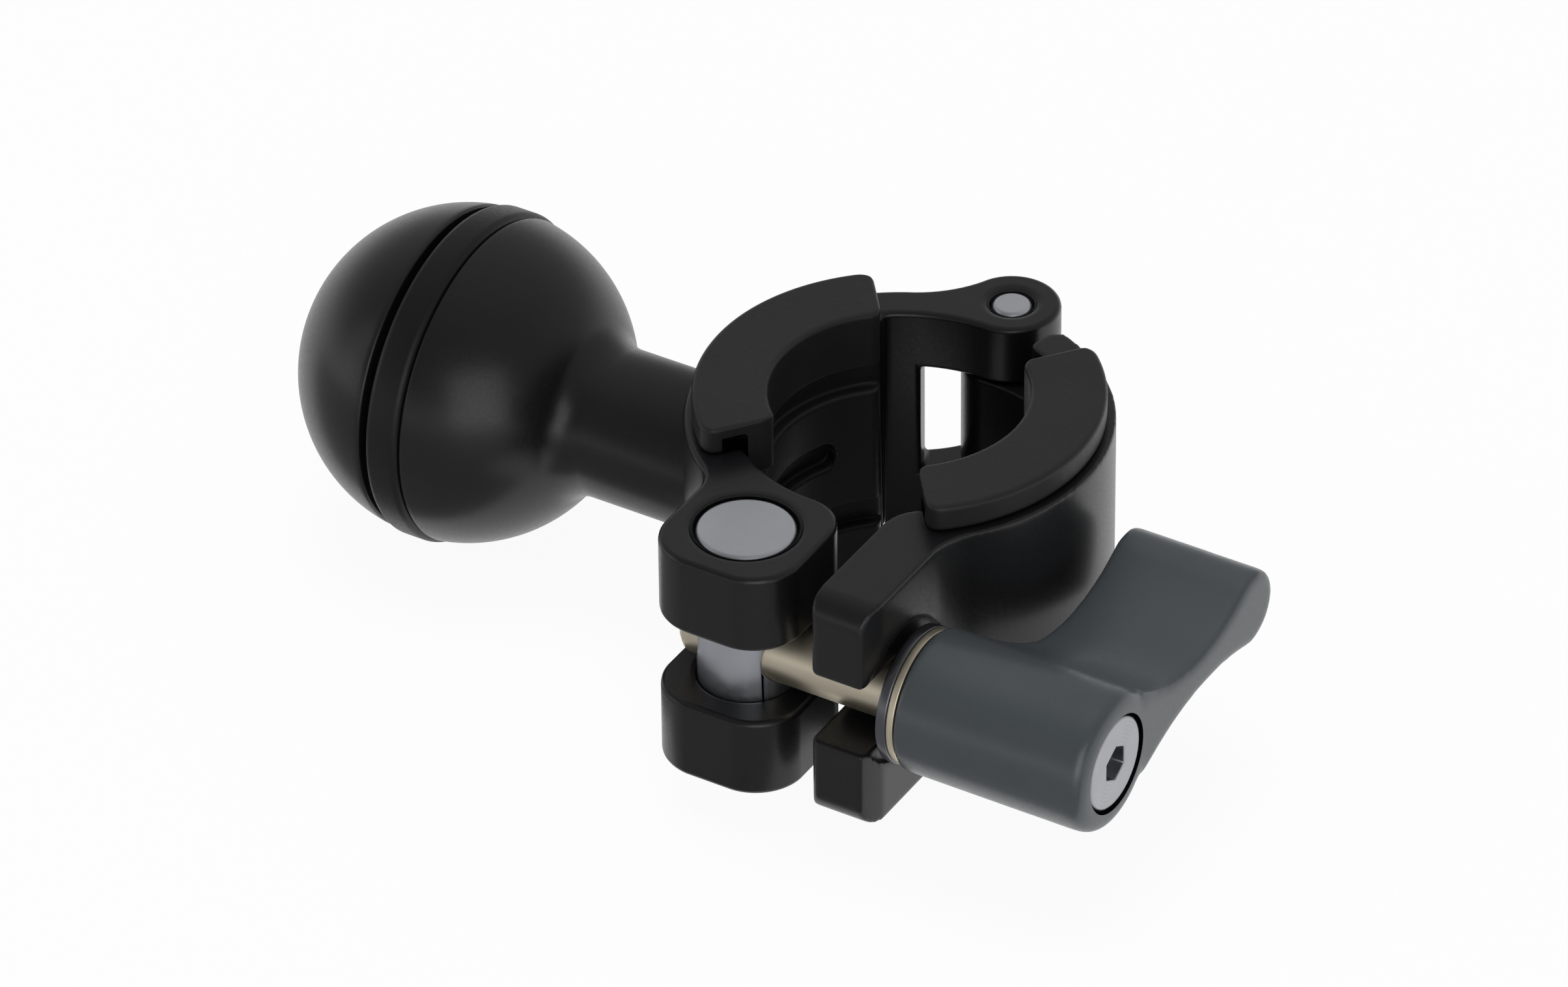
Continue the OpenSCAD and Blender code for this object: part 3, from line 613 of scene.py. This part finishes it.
def springTube():
    s = spring
    work = bmesh.new()
    count = s["coils"] * s["stepsPerCoil"]
    wire = s["wire"] / 2 * mm
    span = springHigh.x - springLow.x - 2 * wire
    loops = []
    for i in range(count + 1):
        turn = 2 * math.pi * i / s["stepsPerCoil"]
        out = Vector((0, math.cos(turn), math.sin(turn)))
        middle = Vector((springLow.x + wire + span * i / count, boltAxis.y, 0))
        middle += out * s["radius"] * mm
        loops.append([
            work.verts.new(middle + out * wire * math.cos(b) + Vector((wire * math.sin(b), 0, 0)))
            for b in (2 * math.pi * k / s["sides"] for k in range(s["sides"]))])
    for a, b in zip(loops, loops[1:]):
        for k in range(s["sides"]):
            n = (k + 1) % s["sides"]
            work.faces.new((a[k], a[n], b[n], b[k]))
    work.faces.new(loops[0])
    work.faces.new(list(reversed(loops[-1])))
    bmesh.ops.recalc_face_normals(work, faces=work.faces)
    return newPiece("leverSpring", work)


springPiece = dress(springTube(), "lever_spring", springSteel)
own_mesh(springPiece)
print("lever and spring made")


# Stage, light and camera

def stagePlane(name, corners, material):
    mesh = bpy.data.meshes.new(name)
    mesh.from_pydata(corners, [], [range(len(corners))])
    plane = bpy.data.objects.new(name, mesh)
    bpy.context.scene.collection.objects.link(plane)
    mesh.materials.append(material)
    return plane


# half width in metres, gap under the clamp in mm, and how much of what is seen glows white
floorSpec = {"half": 3, "gap": 0.2, "glow": 0.94, "colour": "#f4f4f4"}


# white to the camera and in reflections, and it takes the object's soft shadow
def paperFloor():
    material = bpy.data.materials.new("whitePaperFloor")
    material.use_nodes = True
    tree = material.node_tree
    tree.nodes.clear()
    path = addNode(tree, "ShaderNodeLightPath")
    seen = addNode(tree, "ShaderNodeMath", {"operation": "MAXIMUM"}, {
        0: path.outputs["Is Camera Ray"], 1: path.outputs["Is Glossy Ray"]})
    seenThrough = addNode(tree, "ShaderNodeMath", {"operation": "MAXIMUM"}, {
        0: seen.outputs[0], 1: path.outputs["Is Transmission Ray"]})
    share = addNode(tree, "ShaderNodeMath", {"operation": "MULTIPLY"}, {
        0: seenThrough.outputs[0], 1: floorSpec["glow"]})
    paper = addNode(tree, "ShaderNodeBsdfDiffuse", None, {"Color": linear(floorSpec["colour"])})
    glow = addNode(tree, "ShaderNodeEmission", None, {"Strength": 1})
    mix = addNode(tree, "ShaderNodeMixShader", None, {
        0: share.outputs[0], 1: paper.outputs[0], 2: glow.outputs[0]})
    addNode(tree, "ShaderNodeOutputMaterial", None, {"Surface": mix.outputs[0]})
    return material


floorZ = cadBox[0].z - floorSpec["gap"] * mm
half = floorSpec["half"]
floorCorners = [(-half, -half, floorZ), (half, -half, floorZ), (half, half, floorZ), (-half, half, floorZ)]
stagePlane("floor", floorCorners, paperFloor())

# grey cards on the table, before the clamp and under its bore, out of the picture and seen only in reflections:
# painted shade that keeps those faces dark, the one under the bore a painted shadow of the clamp on the floor
paintedShadeCards = {"colour": "#aaaaac", "lift": 0.05, "outlines": {
    "frontCard": [(-170, -260), (90, -260), (90, -25), (-16, -25), (-16, -12), (-170, -12)],
    "boreCard": [(-12, -10), (10, -10), (10, 14), (-12, 14)]}}
# the grey of the painted shade and painted shadow that the faces reflect
paintedShadeMaterial = bpy.data.materials.new("greyCard")
paintedShadeMaterial.use_nodes = True
paintedShadeMaterial.node_tree.nodes["Principled BSDF"].inputs["Base Color"].default_value = linear(paintedShadeCards["colour"])
cardZ = floorZ + paintedShadeCards["lift"] * mm
for name, outline in paintedShadeCards["outlines"].items():
    greyCard = stagePlane(name, [(x * mm, y * mm, cardZ) for x, y in outline], paintedShadeMaterial)
    greyCard.visible_camera = greyCard.visible_diffuse = greyCard.visible_shadow = False

# the backdrop is white, and the room is darker above it and on the camera's side
studio = {"ambient": 0.4, "horizon": 0.8, "ceilingFront": 0.18, "ceilingBack": 0.4,
          "frontY": -0.6, "backY": 0.5, "horizonTop": 0.28}
world = bpy.data.worlds.new("whiteStudio")
bpy.context.scene.world = world
world.use_nodes = True
tree = world.node_tree
tree.nodes.clear()
path = addNode(tree, "ShaderNodeLightPath")
direction = addNode(tree, "ShaderNodeSeparateXYZ", None, {
    0: addNode(tree, "ShaderNodeTexCoord").outputs["Generated"]})
ceiling = addNode(tree, "ShaderNodeMapRange", None, {
    "Value": direction.outputs["Y"], "From Min": studio["frontY"], "From Max": studio["backY"],
    "To Min": studio["ceilingFront"], "To Max": studio["ceilingBack"]})
mirrored = addNode(tree, "ShaderNodeMapRange", None, {
    "Value": direction.outputs["Z"], "From Min": 0, "From Max": studio["horizonTop"],
    "To Min": studio["horizon"], "To Max": ceiling.outputs[0]})
unseen = addNode(tree, "ShaderNodeMapRange", None, {
    "Value": path.outputs["Is Glossy Ray"], "To Min": studio["ambient"], "To Max": mirrored.outputs[0]})
seen = addNode(tree, "ShaderNodeMath", {"operation": "MAXIMUM"}, {
    0: path.outputs["Is Camera Ray"], 1: path.outputs["Is Transmission Ray"]})
level = addNode(tree, "ShaderNodeMapRange", None, {
    "Value": seen.outputs[0], "To Min": unseen.outputs[0], "To Max": 1})
sky = addNode(tree, "ShaderNodeBackground", None, {"Color": (1, 1, 1, 1), "Strength": level.outputs[0]})
addNode(tree, "ShaderNodeOutputWorld", None, {"Surface": sky.outputs[0]})

# softboxes in mm and watts; the overhead one is left out of reflections, so that it draws no streaks
softboxes = {
    "overheadBox": {"place": (-60, 40, 520), "aim": (-8, 0, 0), "size": (420, 420), "watts": 1.45,
                    "mirrored": False},
    "frontBox": {"place": (330, -450, 175), "aim": (-30, 0, 0), "size": (400, 400), "watts": 0.7},
    "leftBox": {"place": (-420, -260, 120), "aim": (-30, 0, 0), "size": (160, 320), "watts": 0.09},
}
for name, box in softboxes.items():
    lamp = bpy.data.lights.new(name, "AREA")
    lamp.shape = "RECTANGLE"
    lamp.size, lamp.size_y = (side * mm for side in box["size"])
    lamp.energy = box["watts"]
    holder = bpy.data.objects.new(name, lamp)
    holder.visible_glossy = box.get("mirrored", True)
    holder.location = Vector(box["place"]) * mm
    holder.rotation_euler = (Vector(box["aim"]) * mm - holder.location).to_track_quat("-Z", "Y").to_euler()
    bpy.context.scene.collection.objects.link(holder)

# the photograph's camera, solved from the clamp's own edges; lengths in mm, angles in degrees
photoCamera = {"azimuth": 31.274, "elevation": 35.853, "roll": -0.621, "distance": 740.007,
               "right": -8.436, "up": 1.964, "focalPixels": 15584.267, "imageWidth": 2408, "sensor": 36,
               "clipStart": 10}


def aimCamera(c):
    turn, lift, roll = (math.radians(c[key]) for key in ("azimuth", "elevation", "roll"))
    back = Vector((math.sin(turn) * math.cos(lift), -math.cos(turn) * math.cos(lift), math.sin(lift)))
    level = Vector((math.cos(turn), math.sin(turn), 0))
    upward = back.cross(level)
    right = level * math.cos(roll) + upward * math.sin(roll)
    up = upward * math.cos(roll) - level * math.sin(roll)
    camera = bpy.data.objects.new("photoCamera", bpy.data.cameras.new("photoCamera"))
    camera.data.sensor_width = c["sensor"]
    camera.data.lens = c["focalPixels"] / c["imageWidth"] * c["sensor"]
    camera.data.clip_start = c["clipStart"] * mm
    spot = (back * c["distance"] + right * c["right"] + up * c["up"]) * mm
    turned = Matrix((right, up, back)).transposed().to_4x4()
    camera.matrix_world = Matrix.Translation(spot) @ turned
    bpy.context.scene.collection.objects.link(camera)
    return camera


bpy.context.scene.camera = aimCamera(photoCamera)
bpy.context.scene.view_settings.view_transform = "Standard"
print("stage, light and camera set")
